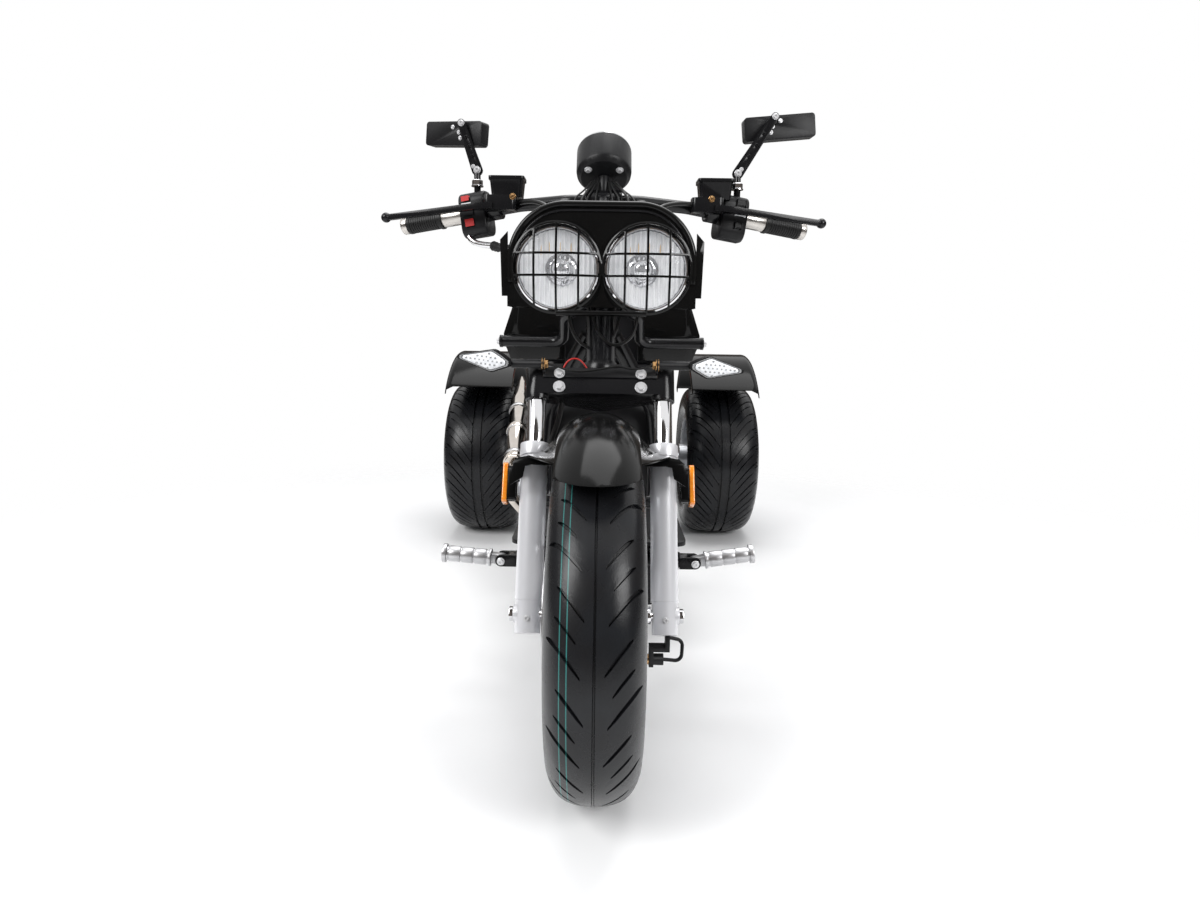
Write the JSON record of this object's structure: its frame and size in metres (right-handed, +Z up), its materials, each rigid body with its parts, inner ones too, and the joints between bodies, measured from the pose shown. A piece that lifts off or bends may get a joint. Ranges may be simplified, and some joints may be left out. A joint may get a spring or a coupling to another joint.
{
  "type": "scooter trike",
  "caption": "Step-through scooter with one steered front wheel and a wide pair of rear wheels: twin guarded headlamps, leg shield, footboard, folding pegs and lift-up seat over an open engine.",
  "frame": {"origin": "on the floor, under the middle of the whole trike's box", "axes": "+Z up, -Y the way the trike faces, +X the trike's left"},
  "size_m": [0.904, 1.8202, 1.0172],
  "materials": {
    "tyre": "satin",
    "rim_silver": "satin",
    "brake_steel": "brushed",
    "fork_silver": "satin",
    "chrome": "polished",
    "black_gloss": "gloss",
    "black_paint": "semi gloss",
    "black_plastic": "matte",
    "amber": "clear",
    "clear_lens": "clear",
    "red_lens": "clear",
    "rubber": "matte",
    "mirror_glass": "mirror",
    "aluminium": "satin",
    "cast": "cast",
    "seat_cover": "satin"
  },
  "bodies": {
    "frame": {"frame_head": "black_paint", "frame_rails": "black_paint", "engine_cradle": "black_paint", "frame_crossmembers": "black_paint", "headlight_bowls": "chrome", "headlight_lenses": "clear_lens", "headlight_guard": "black_paint", "headlight_cowl": "black_gloss", "leg_shield": "black_gloss", "shield_bars": "black_paint", "apron": "black_plastic", "footboard": "black_plastic", "fuel_tank": "black_plastic", "peg_brackets": "black_paint", "engine_crankcase": "aluminium", "engine_cylinder": "aluminium", "cvt_case": "black_gloss", "airbox": "black_plastic", "exhaust": "chrome", "rear_swingarm": "black_paint", "rear_shocks": "chrome", "rear_fenders": "black_gloss", "rear_lamps": "red_lens", "plate_bracket": "black_plastic"},
    "front_wheel": {"front_tyre": "tyre", "front_rim": "rim_silver", "front_brake_disc": "brake_steel"},
    "rear_wheel_left": {"rear_rim_left": "rim_silver", "rear_tyre_left": "tyre"},
    "rear_wheel_right": {"rear_rim_right": "rim_silver", "rear_tyre_right": "tyre"},
    "peg_left": {"footpeg_left": "aluminium"},
    "peg_right": {"footpeg_right": "aluminium"},
    "seat": {"seat_base": "black_plastic", "seat_cushion": "seat_cover"},
    "steering": {"front_axle": "chrome", "fork_lowers": "fork_silver", "fork_stanchions": "chrome", "fork_crown": "black_paint", "front_fender": "black_gloss", "front_brake_caliper": "black_paint", "speed_sensor": "black_plastic", "fork_reflectors": "amber", "front_signal_stalks": "black_plastic", "front_signal_lenses": "clear_lens", "handlebar": "black_paint", "handlebar_riser": "black_paint", "grips": "rubber", "grip_metal": "aluminium", "switch_housings": "black_plastic", "brake_master_cylinders": "black_paint", "brake_levers": "black_paint", "mirror_arms": "black_paint", "mirror_heads": "black_plastic", "mirror_glasses": "mirror_glass", "gauge_pod": "black_plastic", "control_cables": "rubber"}
  },
  "joints": [
    {"name": "steering_turn", "type": "hinge", "parent": "frame", "child": "steering", "pos_m": [0, -0.44514, 0.62405], "axis": [0, 0.4446, 0.8957], "range_deg": [-38, 38]},
    {"name": "front_wheel_spin", "type": "hinge", "parent": "steering", "child": "front_wheel", "pos_m": [0, -0.673, 0.237], "axis": [1, 0, 0], "continuous": true},
    {"name": "rear_wheel_left_spin", "type": "hinge", "parent": "frame", "child": "rear_wheel_left", "pos_m": [0.349, 0.658, 0.226], "axis": [1, 0, 0], "continuous": true},
    {"name": "rear_wheel_right_spin", "type": "hinge", "parent": "frame", "child": "rear_wheel_right", "pos_m": [-0.349, 0.658, 0.226], "axis": [1, 0, 0], "continuous": true},
    {"name": "peg_left_fold", "type": "hinge", "parent": "frame", "child": "peg_left", "pos_m": [0.164, -0.409, 0.231], "axis": [0, -1, 0], "range_deg": [0, 75]},
    {"name": "peg_right_fold", "type": "hinge", "parent": "frame", "child": "peg_right", "pos_m": [-0.164, -0.409, 0.231], "axis": [0, 1, 0], "range_deg": [0, 75]},
    {"name": "seat_lift", "type": "hinge", "parent": "frame", "child": "seat", "pos_m": [0, 0.065, 0.526], "axis": [1, 0, 0], "range_deg": [0, 65]}
  ]
}
